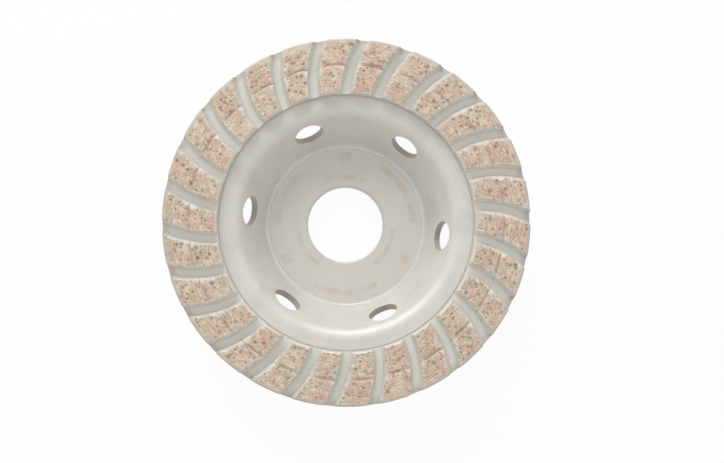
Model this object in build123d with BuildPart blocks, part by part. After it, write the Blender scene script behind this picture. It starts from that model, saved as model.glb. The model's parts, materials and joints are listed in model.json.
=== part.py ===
from build123d import *
import os
from math import atan2, cos, degrees, hypot, radians, sin, tan

# Double-row diamond cup wheel for hand grinders, in millimetres.
# It lies on the back face of its hub, with the grinding side up.
# Origin: centre of the bore on the hub's back face. +Z runs along the bore.

# Whole wheel
wheel_diameter = 105.0
overall_height = 24.0

# Hub, with a raised face for the clamping nut inside the cup
bore_diameter = 22.23
bore_chamfer = 0.5
hub_thickness = 5.0
clamp_face_diameter = 45.2
clamp_face_step = 0.4
floor_margin = 0.6

# Conical wall, with the rounded lip that leads to the ledge
wall_thickness = 1.8
foot_radius = 0.7
lip_radius = 4.5
heel_radius = 1.5
neck_radius = 3.0
ledge_width = 5.3

# Dust holes, drilled square to the conical wall and set down from the ledge
hole_count = 6
hole_diameter = 8.5
hole_drop = 6.2
hole_phase = 52.6

# Rim, with a raised seat for the segments and a turned relief at the seat's foot
rim_thickness = 4.0
rim_chamfer = 0.6
seat_height = 1.0
seat_margin = 0.1
relief_width = 0.45
relief_depth = 0.5

# Two rows of segments that stand back to back, with a shallow V-shaped split along the line between them
inner_row_excess = 0.5
split_width = 1.2
split_depth = 0.3
segment_height = 3.0
segment_draft = 2.5
segment_edge_chamfer = 0.35
segment_corner_radius = 0.35

# Bevel on the sharp corner that each segment has where a groove crosses the split
bevel_depth = 0.8
bevel_slope = 28.0

# Curved grooves between the segments, each one an arc seen from above
groove_count = 26
groove_width = 1.9
groove_draft = 17.0
groove_arc_radius = 30.0
groove_lean = 3.5
groove_phase = 7.15

# Levels, from the hub's back face up
seat_level = overall_height - segment_height
ledge_level = seat_level - seat_height
relief_level = ledge_level - relief_depth
rim_back_level = seat_level - rim_thickness
cup_floor_level = hub_thickness - clamp_face_step

# Bands between the cup's floor and the rim: the conical wall, the inner row and the outer row.
# They are equally wide, apart from the inner row's excess.
floor_radius = clamp_face_diameter / 2 + clamp_face_step + floor_margin
wheel_radius = wheel_diameter / 2
ledge_and_seat = ledge_width + relief_width + seat_margin
band_width = (wheel_radius - floor_radius - ledge_and_seat - inner_row_excess) / 3

# Radii, from the bore out
bore_radius = bore_diameter / 2
clamp_face_radius = clamp_face_diameter / 2
wall_top_radius = floor_radius + band_width
ledge_radius = wall_top_radius + ledge_width
seat_radius = ledge_radius + relief_width
inner_row_foot = seat_radius + seat_margin
split_radius = inner_row_foot + band_width + inner_row_excess

# Lean of the conical wall, and the line parallel to it on the wall's back
wall_run = wall_top_radius - floor_radius
wall_rise = ledge_level - cup_floor_level
wall_angle = degrees(atan2(wall_rise, wall_run))
wall_shift = wall_thickness * hypot(wall_rise, wall_run) / wall_rise


def back_of_wall(level):
    """Radius of the conical wall's back at a level."""
    return floor_radius + (level - cup_floor_level) * wall_run / wall_rise + wall_shift


def on_circle(radius, angle, level=0.0):
    """Point at a radius and an angle in degrees, at a level above the hub's back face."""
    return Vector(radius * cos(radians(angle)), radius * sin(radians(angle)), level)


# Steel cup: one turned profile, then the dust holes
with BuildPart() as cup_body:
    with BuildSketch(Plane.XZ) as cup_section:
        with BuildLine():
            Polyline(
                (bore_radius, 0),
                (bore_radius, hub_thickness),
                (clamp_face_radius, hub_thickness),
                (clamp_face_radius + clamp_face_step, cup_floor_level),
                (floor_radius, cup_floor_level),
                (wall_top_radius, ledge_level),
                (ledge_radius, ledge_level),
                (ledge_radius, relief_level),
                (seat_radius, relief_level),
                (seat_radius, seat_level),
                (wheel_radius, seat_level),
                (wheel_radius, rim_back_level),
                (back_of_wall(rim_back_level), rim_back_level),
                (back_of_wall(0), 0),
                close=True,
            )
        make_face()

        def section_corner(radius, level):
            """Corner of the turned profile nearest to a radius and a level."""
            return cup_section.vertices().sort_by_distance((radius, level))[0]

        fillet(section_corner(floor_radius, cup_floor_level), foot_radius)
        fillet(section_corner(wall_top_radius, ledge_level), lip_radius)
        fillet(section_corner(back_of_wall(rim_back_level), rim_back_level), neck_radius)
        fillet(section_corner(back_of_wall(0), 0), heel_radius)
        chamfer(section_corner(wheel_radius, rim_back_level), rim_chamfer)
        chamfer(section_corner(bore_radius, 0), bore_chamfer)
        chamfer(section_corner(bore_radius, hub_thickness), bore_chamfer)
    revolve(axis=Axis.Z)

    hole_level = ledge_level - hole_drop
    hole_distance = wall_top_radius - hole_drop * wall_run / wall_rise
    hole_planes = []
    for number in range(hole_count):
        angle = hole_phase + number * 360 / hole_count
        into_cup = on_circle(-sin(radians(wall_angle)), angle, cos(radians(wall_angle)))
        hole_planes.append(Plane(on_circle(hole_distance, angle, hole_level), z_dir=into_cup))
    with Locations(*hole_planes):
        Hole(radius=hole_diameter / 2, depth=2 * wall_thickness)

cup_body.part.label = "cup_body"


# Segments: each row is a turned ring, and a segment is what two neighbouring grooves leave of it
groove_pitch = 360 / groove_count
groove_flare = segment_height * tan(radians(groove_draft))
segment_flare = segment_height * tan(radians(segment_draft))


def groove_centre(number):
    """Centre of a groove's arc, on the level of the seat."""
    angle = groove_phase + number * groove_pitch
    return on_circle(inner_row_foot, angle) + on_circle(groove_arc_radius, angle - groove_lean - 90, seat_level)


def cut_between_grooves():
    """Keeps the piece of a row's ring that stands between the first groove and the next."""
    inside = groove_arc_radius - groove_width / 2
    outside = groove_arc_radius + groove_width / 2
    foot = (Align.CENTER, Align.CENTER, Align.MIN)
    with Locations(groove_centre(1)):
        Cone(inside, inside - groove_flare, segment_height, align=foot, mode=Mode.INTERSECT)
    with Locations(groove_centre(0)):
        Cone(outside, outside + groove_flare, segment_height, align=foot, mode=Mode.SUBTRACT)


def split_corners(segment):
    """A segment's two standing edges at the split, in order of their angle round the bore."""
    standing = segment.edges().filter_by(lambda edge: edge.bounding_box().size.Z > segment_height / 2)
    nearest = standing.sort_by(lambda edge: abs(hypot(edge.center().X, edge.center().Y) - split_radius))[:2]
    return nearest.sort_by(lambda edge: atan2(edge.center().Y, edge.center().X))


with BuildSketch(Plane.XZ) as split_section:
    with BuildLine():
        Polyline(
            (split_radius - split_width / 2, overall_height),
            (split_radius, overall_height - split_depth),
            (split_radius + split_width / 2, overall_height),
            close=True,
        )
    make_face()


def finish_at_split(segment, sharp):
    """Rounds a segment's corners at the split, cuts its half of the V and bevels its sharp corner.

    The sharp corner is the first one by angle (0) or the last one (-1).
    """
    corners = split_corners(segment)
    tip = corners[sharp].vertices().sort_by(Axis.Z)[-1].center()
    away = tip - segment.part.center()
    away = Vector(away.X, away.Y, 0).normalized()
    upright = Vector(0, 0, 1)
    fillet(corners, segment_corner_radius)
    revolve(split_section.sketch, axis=Axis.Z, mode=Mode.SUBTRACT)
    facing = away * sin(radians(bevel_slope)) + upright * cos(radians(bevel_slope))
    split(bisect_by=Plane(tip - upright * bevel_depth, z_dir=facing), keep=Keep.BOTTOM)


with BuildPart() as outer_segment:
    with BuildSketch(Plane.XZ):
        with BuildLine():
            Polyline(
                (split_radius, seat_level),
                (wheel_radius, seat_level),
                (wheel_radius, overall_height - segment_edge_chamfer),
                (wheel_radius - segment_edge_chamfer, overall_height),
                (split_radius, overall_height),
                close=True,
            )
        make_face()
    revolve(axis=Axis.Z)
    cut_between_grooves()
    finish_at_split(outer_segment, sharp=-1)

with BuildPart() as inner_segment:
    with BuildSketch(Plane.XZ):
        with BuildLine():
            Polyline(
                (inner_row_foot, seat_level),
                (split_radius, seat_level),
                (split_radius, overall_height),
                (inner_row_foot + segment_flare + segment_edge_chamfer, overall_height),
                (inner_row_foot + segment_flare, overall_height - segment_edge_chamfer),
                close=True,
            )
        make_face()
    revolve(axis=Axis.Z)
    cut_between_grooves()
    finish_at_split(inner_segment, sharp=0)

# Every piece in a file of its own, the segments turned into their places
os.makedirs("parts", exist_ok=True)
export_step(cup_body.part, "parts/cup_body.step")

for row, segment in (("outer", outer_segment), ("inner", inner_segment)):
    for number in range(groove_count):
        placed = Rot(0, 0, number * groove_pitch) * segment.part
        placed.label = f"{row}_segment_{number + 1:02d}"
        export_step(placed, f"parts/{placed.label}.step")
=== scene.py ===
"""Looks of a double-row diamond cup wheel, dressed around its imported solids.

The wheel lies on the back face of its hub with the grinding side up, and the camera looks
down into the cup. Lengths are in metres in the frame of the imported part, and the grain of
the segments is worked out in millimetres.
"""

import json
import logging
import math
from dataclasses import dataclass
from enum import Enum
from typing import Callable, Mapping, NamedTuple, Optional, Sequence, Union

import bpy
import numpy as np
from mathutils import Matrix, Vector

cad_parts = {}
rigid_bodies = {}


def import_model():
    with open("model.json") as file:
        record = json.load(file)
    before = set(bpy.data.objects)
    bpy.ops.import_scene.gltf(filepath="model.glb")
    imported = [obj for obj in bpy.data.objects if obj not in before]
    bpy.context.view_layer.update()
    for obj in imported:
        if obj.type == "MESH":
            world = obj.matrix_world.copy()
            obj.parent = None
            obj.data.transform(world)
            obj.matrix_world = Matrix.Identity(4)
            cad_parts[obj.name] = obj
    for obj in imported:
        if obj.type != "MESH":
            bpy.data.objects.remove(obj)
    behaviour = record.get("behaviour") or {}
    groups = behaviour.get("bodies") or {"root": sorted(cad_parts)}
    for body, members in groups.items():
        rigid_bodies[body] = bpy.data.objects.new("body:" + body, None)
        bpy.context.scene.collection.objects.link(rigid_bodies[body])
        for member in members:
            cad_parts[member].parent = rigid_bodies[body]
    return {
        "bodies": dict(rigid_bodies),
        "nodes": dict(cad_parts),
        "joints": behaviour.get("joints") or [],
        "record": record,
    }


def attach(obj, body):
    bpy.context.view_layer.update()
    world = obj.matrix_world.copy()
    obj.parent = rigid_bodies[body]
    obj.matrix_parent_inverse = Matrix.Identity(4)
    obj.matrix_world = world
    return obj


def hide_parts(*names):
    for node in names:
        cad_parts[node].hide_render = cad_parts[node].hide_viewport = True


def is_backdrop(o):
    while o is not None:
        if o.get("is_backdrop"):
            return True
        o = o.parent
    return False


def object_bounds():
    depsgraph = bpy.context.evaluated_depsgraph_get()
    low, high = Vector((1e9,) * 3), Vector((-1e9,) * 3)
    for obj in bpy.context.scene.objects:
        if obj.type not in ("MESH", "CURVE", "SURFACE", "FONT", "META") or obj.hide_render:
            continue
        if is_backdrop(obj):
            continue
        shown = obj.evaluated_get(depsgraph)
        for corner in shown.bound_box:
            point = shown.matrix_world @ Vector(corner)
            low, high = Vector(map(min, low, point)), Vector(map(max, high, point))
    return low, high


LOG = logging.getLogger("cup_wheel")
MM = 0.001
WHITE = (1.0, 1.0, 1.0, 1.0)

Colour = tuple[float, float, float]
Key = Union[int, str]
Fade = tuple[float, float]  # where a look ends and where it is full
Edge = tuple[float, float]  # how far a paint reaches, and how softly it ends


class Row(Enum):
    """The two rows of segments, by the first word of their nodes' names."""

    OUTER = "outer"
    INNER = "inner"


TONE_CELL = {Row.OUTER: 116, Row.INNER: 110}  # where a row's tones are on their lattice


class Trait(Enum):
    """What the segments' meshes tell their finish, point by point."""

    BARE = "bare_bond"
    PIT = "pit_depth"
    GRAIN = "grain_height"
    TONE = "segment_tone"
    THICK = "paint_thickness"


class Seed(Enum):
    """The patterns that are worked out on a lattice, each with a seed of its own."""

    SPECKLE = 1
    RAGGED = 2
    COARSE_PITS = 3
    SMALL_PITS = 4
    PIT_FLOOR = 5
    GRAINS = 6
    LUMPS = 7
    SMALL_LUMPS = 8
    TONE = 9
    CROWD = 10
    DRIFT = 11


def _operator(operation: str, swapped: bool = False) -> Callable[["Signal", "Input"], "Signal"]:
    """A method that adds the Math node of one operator, or of its reflected form."""

    def method(self: "Signal", other: "Input") -> "Signal":
        """The operator's result."""
        return self.tree.math(operation, *((other, self) if swapped else (self, other)))

    return method


class Signal:
    """One output of a shader node, with the arithmetic operators for plain numbers."""

    __add__ = _operator("ADD")
    __radd__ = _operator("ADD", swapped=True)
    __sub__ = _operator("SUBTRACT")
    __rsub__ = _operator("SUBTRACT", swapped=True)
    __mul__ = _operator("MULTIPLY")
    __rmul__ = _operator("MULTIPLY", swapped=True)
    __pow__ = _operator("POWER")

    def __init__(self, tree: "Tree", socket: Optional[bpy.types.NodeSocket]) -> None:
        """Keeps the tree that new nodes go into and the socket, which a last node doesn't have."""
        self.tree = tree
        self.socket = socket

    def __abs__(self) -> "Signal":
        """Size without the sign."""
        return self.tree.math("ABSOLUTE", self)

    def wrapped(self, low: float, high: float) -> "Signal":
        """The number brought into a range by whole turns."""
        return self.tree.math("WRAP", self, high, low)

    def ramp(self, low: float, high: float) -> "Signal":
        """Smooth step from 0 at low to 1 at high, or falling where low is the greater."""
        rising = low < high
        values = {
            "Value": self,
            "From Min": min(low, high),
            "From Max": max(low, high),
            "To Min": 0.0 if rising else 1.0,
            "To Max": 1.0 if rising else 0.0,
        }
        return self.tree.node("ShaderNodeMapRange", {"interpolation_type": "SMOOTHSTEP"}, values)


Input = Union[Signal, float, Sequence[float]]


class Noise(NamedTuple):
    """Cloudy noise: its swells to the millimetre, its finer layers, and how strong they are."""

    per_mm: float
    detail: float
    roughness: float


class Veil(NamedTuple):
    """How one look lies over another: levels of a noise at which it begins and is full, and how
    much of it shows there. Where faint noise brings it out, full is the lesser level.
    """

    start: float
    full: float
    share: float

    def over(self, noise: Signal) -> Signal:
        """How much of the look shows at this point."""
        return noise.ramp(self.start, self.full) * self.share


class Tree:
    """The node tree of a material or a world, built from Python expressions."""

    def __init__(self, owner: Union[bpy.types.Material, bpy.types.World]) -> None:
        """Empties the owner's tree."""
        self.owner = owner
        owner.use_nodes = True
        self.nodes = owner.node_tree.nodes
        self.links = owner.node_tree.links
        self.nodes.clear()

    def node(
        self,
        kind: str,
        settings: Optional[Mapping[str, object]] = None,
        inputs: Optional[Mapping[Key, Input]] = None,
        output: Key = 0,
    ) -> Signal:
        """Adds any node.

        Args:
            kind: the node's type.
            settings: the node's own properties, set before its sockets.
            inputs: a value or a signal for each socket, by name or number.
            output: the output wanted, by name or number.

        Returns:
            The wanted output.
        """
        made = self.nodes.new(kind)
        for name, value in (settings or {}).items():
            setattr(made, name, value)
        for key, value in (inputs or {}).items():
            if isinstance(value, Signal):
                self.links.new(value.socket, made.inputs[key])
            else:
                made.inputs[key].default_value = value
        return Signal(self, made.outputs[output] if made.outputs else None)

    def math(self, operation: str, *values: Input) -> Signal:
        """Adds a Math node with these values in their order."""
        return self.node("ShaderNodeMath", {"operation": operation}, dict(enumerate(values)))

    def vector_math(self, operation: str, *values: Input, output: Key = 0) -> Signal:
        """Adds a Vector Math node with these values in their order."""
        inputs = dict(enumerate(values))
        return self.node("ShaderNodeVectorMath", {"operation": operation}, inputs, output)

    def place(self) -> Signal:
        """Position in the part's frame, in metres."""
        return self.node("ShaderNodeTexCoord", output="Object")

    def along(self, vector: Signal, axis: str) -> Signal:
        """One of a vector's three numbers."""
        return self.node("ShaderNodeSeparateXYZ", None, {0: vector}, axis)

    def radius(self, place: Signal) -> Signal:
        """Distance from the bore's axis."""
        flat = self.vector_math("MULTIPLY", place, (1.0, 1.0, 0.0))
        return self.vector_math("LENGTH", flat, output="Value")

    def turn(self, place: Signal) -> Signal:
        """Angle round the bore's axis from +X, in degrees."""
        turn = self.math("ARCTAN2", self.along(place, "Y"), self.along(place, "X"))
        return turn * (180.0 / math.pi)

    def grain(self, vector: Signal, noise: Noise) -> Signal:
        """A noise's level at this point."""
        values = {
            "Vector": vector,
            "Scale": noise.per_mm / MM,
            "Detail": noise.detail,
            "Roughness": noise.roughness,
        }
        return self.node("ShaderNodeTexNoise", None, values, "Fac")

    def mixed(
        self, share: Input, first: Union[Signal, Colour], second: Union[Signal, Colour]
    ) -> Signal:
        """A colour between two others, the first where share is 0."""
        ends = [value if isinstance(value, Signal) else (*value, 1.0) for value in (first, second)]
        settings = {"data_type": "RGBA", "clamp_factor": True}
        return self.node("ShaderNodeMix", settings, {0: share, 6: ends[0], 7: ends[1]}, 2)

    def trait(self, trait: Trait) -> Signal:
        """What the mesh says of itself at this point, from 0 to 1."""
        return self.node("ShaderNodeAttribute", {"attribute_name": trait.value}, None, "Fac")

    def bump(self, height: Signal, depth: float) -> Signal:
        """Normal of a surface that rises by depth metres where height is 1."""
        values = {"Strength": 1.0, "Distance": depth, "Height": height}
        return self.node("ShaderNodeBump", None, values, "Normal")

    def finish(self, shader: Signal) -> bpy.types.Material:
        """Leads a shader to the material's surface."""
        self.node("ShaderNodeOutputMaterial", None, {"Surface": shader})
        return self.owner


@dataclass(frozen=True)
class DustHoles:
    """Where the holes in the conical wall are, in the part's frame.

    Attributes:
        count, phase: how many there are, evenly spread, and the angle of the first, in degrees.
        radius: radius of a hole.
        distance, level: distance of a hole's middle from the bore's axis, and its height.
        wall_lean: angle of the wall above the level plane, in degrees.
        skin: how far outside a hole's radius the look of its wall ends and is full.
    """

    count: int = 6
    phase: float = 52.6
    radius: float = 4.25 * MM
    distance: float = 28.09 * MM
    level: float = 13.8 * MM
    wall_lean: float = 63.98
    skin: Fade = (0.12 * MM, 0.03 * MM)

    def inside(self, tree: Tree, place: Signal) -> Signal:
        """1 on the walls of the holes and 0 beside them."""
        radius = tree.radius(place)
        half_pitch = 180.0 / self.count
        turn = (tree.turn(place) - self.phase).wrapped(-half_pitch, half_pitch) * (math.pi / 180.0)
        across = radius * tree.math("SINE", turn)
        outward = radius * tree.math("COSINE", turn)
        lean = math.radians(self.wall_lean)
        rise = (tree.along(place, "Z") - self.level) * math.sin(lean)
        upward = (outward - self.distance) * math.cos(lean) + rise
        reach = (across * across + upward * upward) ** 0.5
        return reach.ramp(self.radius + self.skin[0], self.radius + self.skin[1])


class Mark(NamedTuple):
    """A kind of printed mark: radius of its middle line, half its width, angle of one's middle
    and half its length, in metres and degrees.
    """

    radius: float
    half_width: float
    turn: float
    half_length: float


@dataclass(frozen=True)
class HubMarks:
    """Faint tan marks printed on the clamping face, three times over.

    Attributes:
        outer_arc, inner_arc, bar: the kinds of marks.
        half_third: half the angle from one of a kind to the next.
        end_soft, side_soft: how softly the ends, in degrees, and the sides fade.
        face_level, face_near: height of the face, and how near it the print ends and is full.
        wear, worn: noise of the worn places, and its levels where print is gone and is whole.
    """

    outer_arc: Mark = Mark(19.9 * MM, 0.75 * MM, 30.0, 27.0)
    inner_arc: Mark = Mark(14.2 * MM, 0.6 * MM, 90.0, 24.0)
    bar: Mark = Mark(19.9 * MM, 1.4 * MM, 90.0, 4.0)
    half_third: float = 60.0
    end_soft: float = 1.5
    side_soft: float = 0.25 * MM
    face_level: float = 5.0 * MM
    face_near: Fade = (0.1 * MM, 0.05 * MM)
    wear: Noise = Noise(0.22, 2.0, 0.5)
    worn: Fade = (0.3, 0.6)

    def printed(self, tree: Tree, place: Signal) -> Signal:
        """1 on the print and 0 beside it, with thin places where it has worn."""
        radius = tree.radius(place)
        turn = tree.turn(place)
        drawn = 0.0
        for mark in (self.outer_arc, self.inner_arc, self.bar):
            across = abs(radius - mark.radius)
            along = abs((turn - mark.turn).wrapped(-self.half_third, self.half_third))
            band = across.ramp(mark.half_width + self.side_soft, mark.half_width)
            drawn += band * along.ramp(mark.half_length + self.end_soft, mark.half_length)
        on_face = abs(tree.along(place, "Z") - self.face_level).ramp(*self.face_near)
        return drawn * on_face * tree.grain(place, self.wear).ramp(*self.worn)


@dataclass(frozen=True)
class SilverPaint:
    """Satin silver paint over turned steel.

    Attributes:
        colour, shade: the paint where it is clean, and where it is thin or dusty.
        face, edge: paint that a flange has rubbed on the clamping face, and a highlight painted
            round it.
        relief: warmer paint in the turned relief at the segments' foot, lightened as painted
            light.
        corner: thick paint on the segments' corners at the split.
        lightened_groove_paint: lighter paint on the segments' sides and the grooves' floors,
            painted light in their shade.
        print_colour, print_share: the print on the clamping face, and how strong it is.
        steel: the walls of the dust holes, painted darker as painted shade inside the holes.
        dust, dust_share: dust on the floors of the grooves at the rim, and how thick it lies.
        cloud, cloudy, fleck, flecked: clouds and flecks that bring out the shade, and how.
        peel, peel_depth: fine ripple of the paint's surface.
        gloss_swing: what the clouds change of the paint's roughness.
        face_share, face_swing: how rubbed the clamping face is, and what the clouds change of it.
        face_edge, face_levels: edge and height of the clamping face.
        edge_radius, edge_halves: where the painted highlight on the turned edge is, and how far it
            reaches to the sides.
        edge_level, edge_rises: the same for its height.
        relief_radius, relief_halves: the same for the relief.
        relief_top, relief_foot: where the relief ends above and below.
        floor_start, floor_levels: where the floors of the grooves begin, and their height.
        rim: where the dust on them begins and where it is thickest.
    """

    colour: Colour = (0.70, 0.69, 0.64)
    shade: Colour = (0.60, 0.585, 0.535)
    face: Colour = (0.64, 0.625, 0.57)
    edge: Colour = (0.95, 0.94, 0.90)
    relief: Colour = (0.79, 0.75, 0.665)
    corner: Colour = (0.70, 0.675, 0.61)
    lightened_groove_paint: Colour = (0.735, 0.725, 0.67)
    print_colour: Colour = (0.60, 0.43, 0.28)
    print_share: float = 0.4
    steel: Colour = (0.42, 0.39, 0.345)
    dust: Colour = (0.42, 0.385, 0.32)
    dust_share: float = 0.55
    cloud: Noise = Noise(0.09, 3.0, 0.55)
    cloudy: Veil = Veil(0.35, 0.75, 0.7)
    fleck: Noise = Noise(0.9, 3.0, 0.6)
    flecked: Veil = Veil(0.4, 0.8, 0.3)
    peel: Noise = Noise(2.2, 2.0, 0.5)
    peel_depth: float = 0.01 * MM
    metallic: float = 0.2
    roughness: float = 0.45
    gloss_swing: float = 0.12
    face_share: float = 0.7
    face_swing: float = 0.5
    face_edge: Fade = (22.65 * MM, 22.55 * MM)
    face_levels: Fade = (4.9 * MM, 4.97 * MM)
    edge_radius: float = 22.88 * MM
    edge_halves: Fade = (0.3 * MM, 0.1 * MM)
    edge_level: float = 4.8 * MM
    edge_rises: Fade = (0.35 * MM, 0.25 * MM)
    relief_radius: float = 36.65 * MM
    relief_halves: Fade = (0.36 * MM, 0.26 * MM)
    relief_top: Fade = (20.6 * MM, 20.4 * MM)
    relief_foot: Fade = (19.0 * MM, 19.2 * MM)
    floor_start: Fade = (36.9 * MM, 37.0 * MM)
    floor_levels: Fade = (20.8 * MM, 20.95 * MM)
    rim: Fade = (49.5 * MM, 52.4 * MM)
    holes: DustHoles = DustHoles()
    marks: HubMarks = HubMarks()

    def build(self, name: str) -> bpy.types.Material:
        """Makes the material for the cup."""
        tree = Tree(bpy.data.materials.new(name))
        place = tree.place()
        radius = tree.radius(place)
        level = tree.along(place, "Z")
        cloud = tree.grain(place, self.cloud)
        fleck = tree.grain(place, self.fleck)
        shaded = self.cloudy.over(cloud) + self.flecked.over(fleck)
        colour = tree.mixed(shaded, self.colour, self.shade)
        rubbed = self.face_share + self.face_swing * (cloud - 0.5)
        looks = (
            (self._on_face(radius, level) * rubbed, self.face),
            # painted highlight: a near-white ring on the chamfer round the clamping face
            (self._on_edge_highlight(radius, level), self.edge),
            # painted light: the turned relief is lightened against the shade that falls in it
            (self._in_relief(radius, level), self.relief),
            # painted light: paint lightened on the seat and the grooves' floors, where they lie in
            # shade
            (radius.ramp(*self.floor_start), self.lightened_groove_paint),
            (self._on_rim(radius, level) * self.dust_share, self.dust),
            (self.marks.printed(tree, place) * self.print_share, self.print_colour),
            # painted shade: the walls of the dust holes are darkened
            (self.holes.inside(tree, place), self.steel),
        )
        for share, look in looks:
            colour = tree.mixed(share, colour, look)
        values = {
            "Base Color": colour,
            "Metallic": self.metallic,
            "Roughness": self.roughness + self.gloss_swing * (cloud - 0.5),
            "Normal": tree.bump(tree.grain(place, self.peel), self.peel_depth),
        }
        return tree.finish(tree.node("ShaderNodeBsdfPrincipled", None, values))

    def _on_face(self, radius: Signal, level: Signal) -> Signal:
        """1 on the clamping face."""
        return radius.ramp(*self.face_edge) * level.ramp(*self.face_levels)

    def _on_edge_highlight(self, radius: Signal, level: Signal) -> Signal:
        """1 along the painted highlight round the clamping face."""
        near = abs(radius - self.edge_radius).ramp(*self.edge_halves)
        return near * abs(level - self.edge_level).ramp(*self.edge_rises)

    def _in_relief(self, radius: Signal, level: Signal) -> Signal:
        """1 in the turned relief."""
        near = abs(radius - self.relief_radius).ramp(*self.relief_halves)
        return near * level.ramp(*self.relief_top) * level.ramp(*self.relief_foot)

    def _on_rim(self, radius: Signal, level: Signal) -> Signal:
        """1 on the floors of the grooves where they run out."""
        return radius.ramp(*self.rim) * level.ramp(*self.floor_levels)


@dataclass(frozen=True)
class SinteredBond:
    """Ground bronze bond with grit, bare on top and painted silver down its sides.

    Attributes:
        tan, cream, rose, olive: the bond's own colours, in clouds a few millimetres wide.
        pit: the floor of a pit that a lost grain left.
        grit: a diamond grain or the mark it leaves.
        split_shade_and_rim_dirt: a dark colour, painted shade in the split and grime smeared over
            the rim.
        cloud, creamy, tone_share: clouds of cream, how they show, and what a light tone adds.
        blush, blush_shift, rosy: clouds of rose, where they are taken from, and how they show.
        moss, moss_shift, mossy: the same for olive.
        fine, fine_dark, fine_light: the bond's texture, and its dark and light specks.
        scratch, scratch_light, scratch_dark: the dressing marks, and how they show.
        scratch_length, scratch_width: of the dressing marks, which run round the bore.
        grain_share, pit_share: how strongly grains and pits show in colour.
        split_radius, split_halves, split_shade_share: the split, its reach, and how much painted
        shade it gets.
        rim, rim_share: where the smeared rim begins and is darkest, and how dark it gets.
        relief, fine_relief: depth of the dressing marks, and the texture's part of it.
        dusty_roughness, pit_roughness: roughness of dust and thick paint, and what a pit adds.
    """

    tan: Colour = (0.585, 0.415, 0.295)
    cream: Colour = (0.69, 0.575, 0.44)
    rose: Colour = (0.62, 0.39, 0.31)
    olive: Colour = (0.51, 0.44, 0.30)
    pit: Colour = (0.17, 0.10, 0.065)
    grit: Colour = (0.92, 0.86, 0.76)
    split_shade_and_rim_dirt: Colour = (0.36, 0.32, 0.26)
    cloud: Noise = Noise(0.36, 4.0, 0.62)
    creamy: Veil = Veil(0.42, 0.60, 0.65)
    tone_share: float = 0.35
    blush: Noise = Noise(0.34, 3.0, 0.6)
    blush_shift: tuple[float, float, float] = (0.11, 0.07, 0.0)
    rosy: Veil = Veil(0.49, 0.62, 0.8)
    moss: Noise = Noise(0.4, 3.0, 0.6)
    moss_shift: tuple[float, float, float] = (0.23, 0.31, 0.0)
    mossy: Veil = Veil(0.51, 0.64, 0.7)
    fine: Noise = Noise(2.0, 3.0, 0.65)
    fine_dark: Veil = Veil(0.54, 0.72, 0.35)
    fine_light: Veil = Veil(0.46, 0.28, 0.45)
    scratch: Noise = Noise(MM, 2.0, 0.6)
    scratch_light: Veil = Veil(0.52, 0.70, 0.6)
    scratch_dark: Veil = Veil(0.46, 0.28, 0.3)
    scratch_length: float = 2.6 * MM
    scratch_width: float = 0.42 * MM
    grain_share: float = 0.5
    pit_share: float = 0.8
    split_radius: float = 44.98 * MM
    split_halves: Fade = (0.77 * MM, 0.32 * MM)
    split_shade_share: float = 0.2
    rim: Fade = (51.0 * MM, 52.3 * MM)
    rim_share: float = 0.5
    relief: float = 0.13 * MM
    fine_relief: float = 0.3
    metallic: float = 0.3
    roughness: float = 0.5
    dusty_roughness: float = 0.85
    pit_roughness: float = 0.2
    paint: SilverPaint = SilverPaint()

    def build(self, name: str) -> bpy.types.Material:
        """Makes the material for both rows of segments."""
        tree = Tree(bpy.data.materials.new(name))
        place = tree.place()
        bare = tree.trait(Trait.BARE)
        pit = tree.trait(Trait.PIT)
        thick = tree.trait(Trait.THICK)
        fine = tree.grain(place, self.fine)
        scratch = self._scratches(tree, place)
        radius = tree.radius(place)
        split = abs(radius - self.split_radius).ramp(*self.split_halves)
        rim = radius.ramp(*self.rim)
        clean = (1.0 - split) * (1.0 - thick)
        # painted light: the segments' painted sides are lightened against the grooves' shade
        painted = tree.mixed(thick, self.paint.lightened_groove_paint, self.paint.corner)
        colour = tree.mixed(bare, painted, self._bond(tree, place, fine, scratch, pit))
        # painted shade darkens the split, and real grime darkens the rim
        shade_and_dirt = split * (1.0 - thick) * self.split_shade_share + rim * self.rim_share
        metal = self.paint.metallic + bare * (self.metallic - self.paint.metallic)
        rough = self.dusty_roughness + clean * (self.roughness - self.dusty_roughness)
        height = (scratch + fine * self.fine_relief) * bare * (1.0 - split)
        values = {
            "Base Color": tree.mixed(shade_and_dirt, colour, self.split_shade_and_rim_dirt),
            "Metallic": clean * metal,
            "Roughness": rough + pit * self.pit_roughness,
            "Normal": tree.bump(height, self.relief),
        }
        return tree.finish(tree.node("ShaderNodeBsdfPrincipled", None, values))

    def _bond(
        self, tree: Tree, place: Signal, fine: Signal, scratch: Signal, pit: Signal
    ) -> Signal:
        """Colour of the bare bond.

        Args:
            tree, place: the material's tree and the position in the part's frame.
            fine, scratch: levels of the bond's texture and of the dressing marks.
            pit: how deep a pit is, from 0 to 1.

        Returns:
            The colour.
        """
        cloud = tree.grain(place, self.cloud)
        blush = tree.grain(tree.vector_math("ADD", place, self.blush_shift), self.blush)
        moss = tree.grain(tree.vector_math("ADD", place, self.moss_shift), self.moss)
        light = self.creamy.over(cloud) + tree.trait(Trait.TONE) * self.tone_share
        colour = tree.mixed(light, self.tan, self.cream)
        looks = (
            (self.rosy.over(blush), self.rose),
            (self.mossy.over(moss), self.olive),
            (self.fine_dark.over(fine), self.pit),
            (self.fine_light.over(fine), self.grit),
            (self.scratch_light.over(scratch), self.grit),
            (self.scratch_dark.over(scratch), self.pit),
            (tree.trait(Trait.GRAIN) * self.grain_share, self.grit),
            (pit * self.pit_share, self.pit),
        )
        for share, look in looks:
            colour = tree.mixed(share, colour, look)
        return colour

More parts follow.
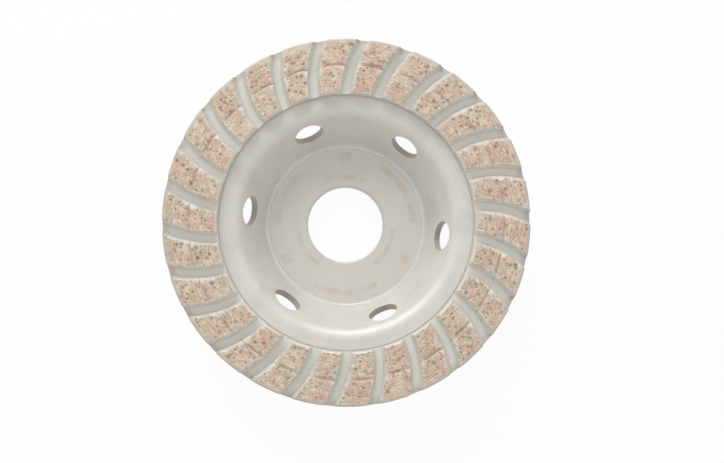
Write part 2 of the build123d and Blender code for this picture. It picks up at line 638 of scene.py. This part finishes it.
    def _scratches(self, tree: Tree, place: Signal) -> Signal:
        """Noise drawn out round the bore, from 0 to 1.

        The place is counted in lengths and widths of a mark, so the noise has one swell to each.
        """
        middle_radius = 45.0 * MM
        along = tree.turn(place) * (math.radians(middle_radius) / self.scratch_length)
        across = tree.radius(place) * (1.0 / self.scratch_width)
        drawn = tree.node("ShaderNodeCombineXYZ", None, {0: across, 1: along})
        return tree.grain(drawn, self.scratch)


@dataclass(frozen=True)
class WhiteFloor:
    """Plain white floor that keeps the wheel's shadow faint where the camera sees it.

    Attributes:
        colour: the floor as light falls on it.
        backdrop_share: how much of the plain white backdrop the camera sees in its place.
    """

    colour: Colour = (0.9, 0.9, 0.9)
    backdrop_share: float = 0.93

    def build(self, name: str) -> bpy.types.Material:
        """Makes the material for the floor."""
        tree = Tree(bpy.data.materials.new(name))
        matt = tree.node("ShaderNodeBsdfDiffuse", None, {"Color": (*self.colour, 1.0)})
        white = tree.node("ShaderNodeEmission", None, {"Color": WHITE, "Strength": 1.0})
        seen = tree.node("ShaderNodeLightPath", output="Is Camera Ray")
        gloss = tree.node("ShaderNodeLightPath", output="Is Glossy Ray")
        through = tree.node("ShaderNodeLightPath", output="Is Transmission Ray")
        share = (seen + gloss + through) * self.backdrop_share
        return tree.finish(tree.node("ShaderNodeMixShader", None, {0: share, 1: matt, 2: white}))


def smooth_step(values: np.ndarray, low: float, high: float) -> np.ndarray:
    """Smooth step from 0 at low to 1 at high, or falling where low is the greater."""
    part = np.clip((values - low) / (high - low), 0.0, 1.0)
    return part * part * (3.0 - 2.0 * part)


def vectors(mesh: bpy.types.Mesh, kind: str) -> np.ndarray:
    """Three numbers for each of a mesh's points, such as its place (co) or its normal."""
    numbers = np.zeros(len(mesh.vertices) * 3)
    mesh.vertices.foreach_get(kind, numbers)
    return numbers.reshape(-1, 3)


class Lattice:
    """Repeatable noise on a square or cubic lattice, worked out for many points at once."""

    SEED_STEP = 2654435761
    WHICH_STEP = 40503
    OFFSET = 12345
    CELL_STEP = np.uint64(0x9E3779B97F4A7C15)
    CELL_FACTOR = np.uint64(0xBF58476D1CE4E5B9)
    CELL_SHIFT = np.uint64(29)
    LAST_FACTOR = np.uint64(0x94D049BB133111EB)
    LAST_SHIFT = np.uint64(32)
    SPARE_BITS = np.uint64(11)
    KEPT_VALUES = 2.0**53

    def __init__(self, seed: Seed) -> None:
        """Keeps the seed that sets this pattern apart from the others."""
        self.seed = seed.value

    def chance(self, cells: np.ndarray, which: int = 0) -> np.ndarray:
        """One number from 0 to 1 for each cell.

        Args:
            cells: whole numbers, one row for each cell.
            which: tells apart several numbers of the same cell.

        Returns:
            One number for each row.
        """
        start = self.seed * self.SEED_STEP + which * self.WHICH_STEP + self.OFFSET
        stirred = np.full(len(cells), start, dtype=np.uint64)
        for column in cells.T:
            stirred ^= column.astype(np.int64).astype(np.uint64) + self.CELL_STEP
            stirred *= self.CELL_FACTOR
            stirred ^= stirred >> self.CELL_SHIFT
        stirred *= self.LAST_FACTOR
        stirred ^= stirred >> self.LAST_SHIFT
        return (stirred >> self.SPARE_BITS).astype(float) / self.KEPT_VALUES

    def swell(self, points: np.ndarray, spacing: float) -> np.ndarray:
        """Smooth noise from 0 to 1.

        Args:
            points: one row for each point.
            spacing: distance between the lattice's cells.

        Returns:
            One number for each point.
        """
        scaled = points / spacing
        base = np.floor(scaled)
        part = smooth_step(scaled - base, 0.0, 1.0)
        total = np.zeros(len(points))
        for corner in np.ndindex(*(2,) * points.shape[1]):
            step = np.array(corner, float)
            weight = np.prod(np.where(step > 0, part, 1.0 - part), axis=1)
            total += weight * self.chance(base + step)
        return total


@dataclass(frozen=True)
class Swell:
    """Smooth noise of one size.

    Attributes:
        seed: which pattern it is.
        spacing: distance between its swells, in millimetres.
        strength: how far it rises from its lowest to its highest.
    """

    seed: Seed
    spacing: float
    strength: float = 1.0

    def rise(self, points: np.ndarray) -> np.ndarray:
        """From 0 to the strength, one number for each point."""
        return self.strength * Lattice(self.seed).swell(points, self.spacing)

    def swing(self, points: np.ndarray) -> np.ndarray:
        """Up to half of the strength to both sides of 0, one number for each point."""
        return self.strength * (Lattice(self.seed).swell(points, self.spacing) - 0.5)


@dataclass(frozen=True)
class Dots:
    """Scattered round dots, in millimetres.

    Attributes:
        seed: which pattern it is.
        spacing: size of the square cells that hold at most one dot each.
        share: part of the cells that hold one.
        crowding: how much that part grows where the dots crowd.
        small, large: least and greatest radius of a dot.
        margin: how far from its cell's edge the middle of a dot stays, as a part of the cell.
    """

    seed: Seed
    spacing: float
    share: float
    crowding: float
    small: float
    large: float
    margin: float = 0.15

    def heights(self, points: np.ndarray, crowd: np.ndarray) -> np.ndarray:
        """Rounded dots that are highest in their middles.

        Args:
            points: two numbers for each point.
            crowd: how much the dots crowd at each point, from 0 to 1.

        Returns:
            1 in the middle of a dot, falling to 0 at its edge.
        """
        lattice = Lattice(self.seed)
        base = np.floor(points / self.spacing)
        share = self.share + self.crowding * crowd
        room = 1.0 - 2.0 * self.margin
        best = np.zeros(len(points))
        for step in np.ndindex(3, 3):
            cells = base + np.array(step) - 1.0
            inside = np.stack([lattice.chance(cells, 1), lattice.chance(cells, 2)], 1)
            middle = (cells + self.margin + room * inside) * self.spacing
            radius = self.small + (self.large - self.small) * lattice.chance(cells, 3) ** 2
            reach = np.linalg.norm(points - middle, axis=1) / radius
            height = np.clip(1.0 - reach * reach, 0.0, 1.0) * (lattice.chance(cells, 4) < share)
            best = np.maximum(best, height)
        return best


@dataclass(frozen=True)
class Grooves:
    """The curved grooves between the segments, as arcs seen from above.

    Lengths are in millimetres and angles in degrees.

    Attributes:
        count: how many there are.
        arc_radius: radius of each one's middle line.
        lean: how far each one leans from the line out of the bore where it starts.
        phase: angle at which the first one starts.
        start: distance from the bore's axis at which they start.
        half_width: half of one's width at its floor.
        draft: how far its sides lean out from upright.
    """

    count: int = 26
    arc_radius: float = 30.0
    lean: float = 3.5
    phase: float = 7.15
    start: float = 36.97
    half_width: float = 0.95
    draft: float = 17.0

    def reach(self, flat: np.ndarray, number: int) -> np.ndarray:
        """Distance of points, with two numbers for each, from one groove's middle line."""
        return abs(np.linalg.norm(self._from_centre(flat, number), axis=1) - self.arc_radius)

    def towards(self, flat: np.ndarray, number: int) -> np.ndarray:
        """Direction from points to one groove's middle line, as two numbers for each point."""
        offset = self._from_centre(flat, number)
        distance = np.linalg.norm(offset, axis=1)[:, None]
        return offset / distance * np.sign(self.arc_radius - distance)

    def _from_centre(self, flat: np.ndarray, number: int) -> np.ndarray:
        """Points seen from the centre of one groove's arc."""
        angle = math.radians(self.phase + number * 360.0 / self.count)
        side = angle - math.radians(self.lean + 90.0)
        centre = (
            self.start * math.cos(angle) + self.arc_radius * math.cos(side),
            self.start * math.sin(angle) + self.arc_radius * math.sin(side),
        )
        return flat - np.array(centre)


@dataclass
class SegmentRow:
    """One row of segments, each one a finer mesh that stands for its solid.

    All lengths are in millimetres. A segment's sharp corner at the split has a bevel, and its
    blunt corner lies across the split from the other row's bevel.

    Attributes:
        row, slot: which of the two rows, and a name of the record's finish for the segments, which
            is not used.
        voxel: width of the mesh's squares.
        groove_paint: edge of the paint, from a groove's middle line.
        rim_paint, foot_paint, corner_paint: the same from the rim, from the row's foot and from
            the corners at the split.
        foot_ragged: how ragged the paint at the foot is beside the rest.
        blunt_share: how far the paint reaches round the blunt corner beside the sharp one.
        thick_fade: distances from a corner within which its paint is thick.
        seam_radius: rounding of the corners at the split, which paint has filled.
        seam_reach: how far from the split the flank counts as filled, in such radii.
        seam_upright: upward part of a normal above which it isn't the flank's.
        corner_sink, sink_fade: how far the corners are rubbed down, and within which distances.
        blunt_wear: how far the blunt corner is worn down, to meet the bevel beside it.
        wear_along, wear_across: how far that wear reaches along the split and away from it.
        upward, downward: upward part of a normal at which a face counts as side and as top, and
            below which it counts as foot.
        pit_depth, coarse_pits, small_pits: deepest pit in the ground top, and the pits.
        small_pit_share: depth of a small pit beside a coarse one.
        pit_level, pit_floor: how deep pits are on average, and how their floors vary.
        grain_height, grains: how far a grain stands out of the bond, and the grains.
        side_depth, lumps, small_lumps: roughness of the painted sides.
        drift, speckle, ragged, speckle_share: how the paint's edges wander, and how much of the
            speckle the ragged ones have.
    """

    row: Row
    slot: str = "segment_bond"
    voxel: float = 0.17
    groove_paint: Edge = (1.9, 0.45)
    rim_paint: Edge = (0.65, 0.9)
    foot_paint: Edge = (0.5, 0.3)
    foot_ragged: float = 0.6
    corner_paint: Edge = (1.7, 0.7)
    blunt_share: float = 0.7
    thick_fade: Fade = (2.72, 1.7)
    seam_radius: float = 0.35
    seam_reach: float = 1.4
    seam_upright: float = 0.6
    corner_sink: float = 0.12
    sink_fade: Fade = (2.55, 0.2)
    blunt_wear: float = 0.55
    wear_along: float = 1.4
    wear_across: float = 0.9
    upward: Fade = (0.5, 0.9)
    downward: float = -0.5
    pit_depth: float = 0.12
    coarse_pits: Dots = Dots(Seed.COARSE_PITS, 1.4, 0.3, 0.5, 0.32, 0.8)
    small_pits: Dots = Dots(Seed.SMALL_PITS, 0.7, 0.15, 0.5, 0.16, 0.32)
    small_pit_share: float = 0.6
    pit_level: float = 0.7
    pit_floor: Swell = Swell(Seed.PIT_FLOOR, 0.3, 1.2)
    crowd: Swell = Swell(Seed.CROWD, 2.2)
    grain_height: float = 0.03
    grains: Dots = Dots(Seed.GRAINS, 0.5, 0.5, 0.0, 0.12, 0.2)
    side_depth: float = 0.06
    lumps: Swell = Swell(Seed.LUMPS, 0.5, 0.6)
    small_lumps: Swell = Swell(Seed.SMALL_LUMPS, 0.2, 0.4)
    drift: Swell = Swell(Seed.DRIFT, 2.6, 0.5)
    speckle: Swell = Swell(Seed.SPECKLE, 0.32, 1.4)
    ragged: Swell = Swell(Seed.RAGGED, 1.1, 0.6)
    speckle_share: float = 0.3
    grooves: Grooves = Grooves()

    def build(
        self, frame: Mapping[str, object], material: bpy.types.Material
    ) -> list[bpy.types.Object]:
        """Makes the row's pieces and hides their solids.

        Args:
            material: the segments' finish.

        Returns:
            The row's pieces.
        """
        nodes = frame["nodes"]
        names = sorted(name for name in nodes if name.startswith(self.row.value + "_segment_"))
        pieces = []
        for number, name in enumerate(names):
            piece = self._remeshed(nodes[name], f"{name}_ground")
            self._roughen(piece.data, number)
            piece.data.materials.clear()
            piece.data.materials.append(material)
            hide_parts(name)
            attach(piece, "root")
            pieces.append(piece)
        return pieces

    def _remeshed(self, node: bpy.types.Object, name: str) -> bpy.types.Object:
        """A new object with the node's form in small even squares, its mesh in millimetres."""
        mesh = node.data.copy()
        mesh.transform(Matrix.Scale(1.0 / MM, 4))
        piece = bpy.data.objects.new(name, mesh)
        bpy.context.scene.collection.objects.link(piece)
        squares = piece.modifiers.new("squares", "REMESH")
        squares.mode = "VOXEL"
        squares.voxel_size = self.voxel
        graph = bpy.context.evaluated_depsgraph_get()
        fine = bpy.data.meshes.new_from_object(piece.evaluated_get(graph))
        piece.modifiers.clear()
        piece.data = fine
        bpy.data.meshes.remove(mesh)
        fine.name = name
        return piece

    def _roughen(self, mesh: bpy.types.Mesh, number: int) -> None:
        """Sinks pits, raises grains and tells the finish where the bond is bare.

        Args:
            mesh: the segment's mesh, which comes in millimetres and leaves in metres.
            number: the segment's own number in its row, from 0.
        """
        places, flank, on_seam = self._filled(vectors(mesh, "co"), number)
        normals = vectors(mesh, "normal")
        top = places[:, 2].max()
        foot = places[:, 2].min()
        flat = places[:, :2]
        radii = np.hypot(flat[:, 0], flat[:, 1])
        from_split = abs(radii - self._split(radii))
        sides = (number + 1, number) if self.row is Row.OUTER else (number, number + 1)
        sharp, blunt = (self._corner_distance(flat, radii, side) for side in sides)
        corner = np.minimum(sharp, blunt / self.blunt_share)
        worn = np.clip(1.0 - blunt / self.wear_along, 0.0, 1.0)
        worn *= 1.0 - smooth_step(from_split, 0.0, self.wear_across)
        kept = 1.0 - worn * self.blunt_wear / (top - foot)
        places[:, 2] = foot + (places[:, 2] - foot) * kept

        facing_up = smooth_step(normals[:, 2], *self.upward)
        bare = self._bare(places, radii, corner, number)
        pits, grains = self._grit(flat, facing_up * bare)
        rubbed = facing_up * smooth_step(corner, *self.sink_fade)
        ground = self.grain_height + self.pit_depth * pits - self.grain_height * grains
        painted = self.side_depth * (self.lumps.rise(places) + self.small_lumps.rise(places))
        sink = np.where(facing_up > 0.5, ground, painted) + self.corner_sink * rubbed
        held = (normals[:, 2] < self.downward) | (from_split < self.voxel)
        moved = places - normals * np.where(held, 0.0, sink)[:, None]
        moved[:, 2] = np.clip(moved[:, 2], foot, top)
        mesh.vertices.foreach_set("co", (moved * MM).ravel())

        self._tell(mesh, {
            Trait.BARE: bare,
            Trait.PIT: pits,
            Trait.GRAIN: grains,
            Trait.TONE: np.full(len(places), self._tone(number)),
            Trait.THICK: smooth_step(corner, *self.thick_fade),
        })
        self._smooth(mesh, flank, on_seam)

    def _tell(self, mesh: bpy.types.Mesh, traits: Mapping[Trait, np.ndarray]) -> None:
        """Writes what the finish needs to know onto the mesh, one number for each point."""
        for trait, values in traits.items():
            layer = mesh.attributes.new(trait.value, "FLOAT", "POINT")
            layer.data.foreach_set("value", values.astype(np.float32))

    def _smooth(self, mesh: bpy.types.Mesh, flank: np.ndarray, on_seam: np.ndarray) -> None:
        """Shades the mesh smoothly, with the flank's own direction where paint fills the seam."""
        mesh.polygons.foreach_set("use_smooth", np.ones(len(mesh.polygons), bool))
        mesh.update()
        normals = vectors(mesh, "normal")
        upright = on_seam & (normals[:, 2] < self.seam_upright)
        normals[upright] = flank[upright]
        mesh.normals_split_custom_set_from_vertices(normals)

    def _grit(self, flat: np.ndarray, open_top: np.ndarray) -> tuple[np.ndarray, np.ndarray]:
        """Pits and grains in the ground top.

        Args:
            flat: two numbers for each point.
            open_top: 1 on the bare top and 0 elsewhere.

        Returns:
            How deep a pit is and how high a grain is at each point, both from 0 to 1.
        """
        crowd = self.crowd.rise(flat)
        coarse = self.coarse_pits.heights(flat, crowd)
        small = self.small_pits.heights(flat, crowd)
        pits = np.maximum(coarse, self.small_pit_share * small)
        pits = np.clip(pits * (self.pit_level + self.pit_floor.swing(flat)), 0.0, 1.0) * open_top
        grains = self.grains.heights(flat, crowd) * open_top * (1.0 - pits)
        return pits, grains

    def _filled(
        self, places: np.ndarray, number: int
    ) -> tuple[np.ndarray, np.ndarray, np.ndarray]:
        """Moves the rounded corners at the split out to the flanks, which run on over the seam.

        Args:
            places: three numbers for each point.
            number: the segment's own number in its row, from 0.

        Returns:
            The moved points, the direction that the flank faces at each one, and which ones lie
            on the flank where it crosses the seam.
        """
        flat = places[:, :2]
        radii = np.hypot(flat[:, 0], flat[:, 1])
        from_split = abs(radii - self._split(radii))
        outward = flat / radii[:, None]
        facing = -outward if self.row is Row.OUTER else outward
        to_face = np.arccos(np.clip(1.0 - from_split / self.seam_radius, -1.0, 1.0))
        draft = math.radians(self.grooves.draft)
        height = places[:, 2] - places[:, 2].min()
        half_width = self.grooves.half_width + height * math.tan(draft)
        beside_split = from_split < self.seam_reach * self.seam_radius
        moved = places.copy()
        flank = np.zeros_like(places)
        on_seam = np.zeros(len(places), bool)
        for side in (number, number + 1):
            towards = self.grooves.towards(flat, side)
            turn = np.arccos(np.clip((towards * facing).sum(axis=1), -1.0, 1.0))
            rounding = 1.0 - np.cos(np.clip(turn - to_face, 0.0, math.pi))
            depth = self.seam_radius * rounding
            past = self.grooves.reach(flat, side) - half_width - depth
            moved[:, :2] += towards * (depth * (1.0 - smooth_step(past, 0.0, 1.0)))[:, None]
            here = beside_split & (past < self.voxel)
            flank[here, :2] = towards[here] * math.cos(draft)
            flank[here, 2] = math.sin(draft)
            on_seam |= here
        return moved, flank, on_seam

    def _corner_distance(self, flat: np.ndarray, radii: np.ndarray, side: int) -> np.ndarray:
        """Distance of points from the corner between the split and one groove."""
        beside = abs(radii - self._split(radii)) < 3.0 * self.voxel
        nearest = np.argmin(np.where(beside, self.grooves.reach(flat, side), np.inf))
        return np.linalg.norm(flat - flat[nearest], axis=1)

    def _bare(
        self, places: np.ndarray, radii: np.ndarray, corner: np.ndarray, number: int
    ) -> np.ndarray:
        """1 where the bond is bare and 0 where the paint is left, with a ragged edge between.

        Args:
            places: three numbers for each point.
            radii: distance of each point from the bore's axis.
            corner: distance of each point from the nearer corner at the split, by its paint.
            number: the segment's own number in its row, from 0.

        Returns:
            One number for each point.
        """
        flat = places[:, :2]
        speckle = self.speckle.swing(places)
        ragged = self.speckle_share * speckle + self.ragged.swing(places)
        grooves = (self.grooves.reach(flat, side) for side in (number, number + 1))
        reach = np.minimum(*grooves) + self.drift.swing(flat) + speckle
        edges = [(reach, self.groove_paint), (corner + ragged, self.corner_paint)]
        if self.row is Row.OUTER:
            edges.append((radii.max() - radii + ragged, self.rim_paint))
        else:
            edges.append((radii - radii.min() + self.foot_ragged * ragged, self.foot_paint))
        bare = np.ones(len(places))
        for inside, (end, soft) in edges:
            bare *= smooth_step(inside - end, -soft, soft)
        return bare

    def _tone(self, number: int) -> float:
        """How light a segment's bond is, from 0 to 1."""
        cell = np.array([[number, TONE_CELL[self.row]]], float)
        return Lattice(Seed.TONE).chance(cell)[0]

    def _split(self, radii: np.ndarray) -> float:
        """Radius of the split, where the row ends towards the other."""
        return radii.min() if self.row is Row.OUTER else radii.max()


@dataclass
class CupBody:
    """The painted steel cup, which keeps its solid's own mesh."""

    node: str = "cup_body"

    def dress(
        self, frame: Mapping[str, object], material: bpy.types.Material
    ) -> bpy.types.Object:
        """Gives the solid its finish.

        Args:
            material: the cup's finish.

        Returns:
            The dressed node.
        """
        cup = frame["nodes"][self.node]
        for place in cup.material_slots:
            place.material = material
        return cup


@dataclass
class Studio:
    """Camera, floor and light, fitted to the photograph.

    Attributes:
        picture: width and height of the photograph, in pixels.
        rim_centre: the wheel's middle on the level of the grinding face, in the photograph.
        pixels_per_mm: scale on that level.
        distance: how far the lens is above that level, in metres.
        lean_right, lean_up: how far the lens is off the wheel's axis to the picture's right and
            towards its top, in degrees.
        sensor, seen: width of the camera's sensor, and nearest and farthest it sees.
        floor_half, floor_drop: half of the floor's width, and how far it lies under the hub.
        key_turn: where the main light stands, counter-clockwise from the picture's right.
        key_height: how high the main light stands above the floor, in degrees.
        key_distance, key_width, key_depth, key_power: its distance, its size and its watts.
        sky, sky_strength: the even light from all sides.
    """

    picture: tuple[int, int] = (724, 463)
    rim_centre: tuple[float, float] = (346.7, 222.05)
    pixels_per_mm: float = 3.516
    distance: float = 0.48
    lean_right: float = -1.0
    lean_up: float = -2.3
    sensor: float = 36.0
    seen: tuple[float, float] = (0.01, 20.0)
    floor_half: float = 3.0
    floor_drop: float = 0.02 * MM
    key_turn: float = 105.0
    key_height: float = 30.0
    key_distance: float = 0.9
    key_width: float = 0.8
    key_depth: float = 0.4
    key_power: float = 4.9
    sky: Colour = (1.0, 1.0, 1.0)
    sky_strength: float = 0.75

    def build(self, top: float) -> None:
        """Makes the camera, the floor and the lights around a wheel of this height."""
        self._camera(top)
        self._floor()
        self._light(top)
        self._sky()

    def _camera(self, top: float) -> None:
        """Looks down from where the photograph was taken."""
        scale = self.pixels_per_mm / MM
        eye = Vector((
            math.tan(math.radians(self.lean_right)) * self.distance,
            math.tan(math.radians(self.lean_up)) * self.distance,
            top + self.distance,
        ))
        aim = Vector((
            (self.picture[0] / 2 - self.rim_centre[0]) / scale,
            (self.rim_centre[1] - self.picture[1] / 2) / scale,
            top,
        ))
        back = (eye - aim).normalized()
        right = Vector((0.0, 1.0, 0.0)).cross(back).normalized()
        up = back.cross(right)
        data = bpy.data.cameras.new("camera")
        data.sensor_width = self.sensor
        data.lens = scale * (eye - aim).length * self.sensor / self.picture[0]
        data.clip_start, data.clip_end = self.seen
        camera = bpy.data.objects.new("camera", data)
        camera.matrix_world = Matrix((right, up, back)).transposed().to_4x4()
        camera.location = eye
        bpy.context.scene.collection.objects.link(camera)
        bpy.context.scene.camera = camera

    def _floor(self) -> None:
        """Lays a wide white floor under the hub."""
        half = self.floor_half
        mesh = bpy.data.meshes.new("floor")
        rim = [(-half, -half, 0.0), (half, -half, 0.0), (half, half, 0.0), (-half, half, 0.0)]
        mesh.from_pydata(rim, [], [(0, 1, 2, 3)])
        mesh.materials.append(WhiteFloor().build("white_floor"))
        floor = bpy.data.objects.new("floor", mesh)
        floor.location.z = -self.floor_drop
        bpy.context.scene.collection.objects.link(floor)
        floor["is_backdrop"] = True

    def _light(self, top: float) -> None:
        """Hangs the main light at the picture's top."""
        turn = math.radians(self.key_turn)
        height = math.radians(self.key_height)
        level = math.cos(height)
        way = Vector((math.cos(turn) * level, math.sin(turn) * level, math.sin(height)))
        data = bpy.data.lights.new("key", "AREA")
        data.shape = "RECTANGLE"
        data.size = self.key_width
        data.size_y = self.key_depth
        data.energy = self.key_power
        lamp = bpy.data.objects.new("key", data)
        lamp.location = way * self.key_distance + Vector((0.0, 0.0, top))
        lamp.rotation_euler = way.to_track_quat("Z", "Y").to_euler()
        bpy.context.scene.collection.objects.link(lamp)

    def _sky(self) -> None:
        """Surrounds everything with even light, white where the camera sees it."""
        world = bpy.data.worlds.new("sky")
        tree = Tree(world)
        light = {"Color": (*self.sky, 1.0), "Strength": self.sky_strength}
        even = tree.node("ShaderNodeBackground", None, light)
        white = tree.node("ShaderNodeBackground", None, {"Color": WHITE})
        seen = tree.node("ShaderNodeLightPath", output="Is Camera Ray")
        mix = tree.node("ShaderNodeMixShader", None, {0: seen, 1: even, 2: white})
        tree.node("ShaderNodeOutputWorld", None, {"Surface": mix})
        bpy.context.scene.world = world


def corners() -> list[list[float]]:
    """Lowest and highest corner of what is shown now, as plain numbers."""
    bpy.context.view_layer.update()
    return [list(corner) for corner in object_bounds()]


def main() -> None:
    """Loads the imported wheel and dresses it."""
    logging.basicConfig(level=logging.INFO, format="%(name)s: %(message)s")
    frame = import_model()
    packed_box = corners()
    bpy.context.scene.view_settings.view_transform = "Standard"

    cup = CupBody().dress(frame, SilverPaint().build("silver_paint"))
    LOG.info("%s: %d faces", cup.name, len(cup.data.polygons))

    bond = SinteredBond().build("sintered_bond")
    for row in Row:
        pieces = SegmentRow(row).build(frame, bond)
        faces = sum(len(piece.data.polygons) for piece in pieces)
        LOG.info("%s row: %d segments, %d faces", row.value, len(pieces), faces)

    Studio().build(top=packed_box[1][2])
    {"packed": packed_box, "shown": corners()}


if __name__ == "__main__":
    main()
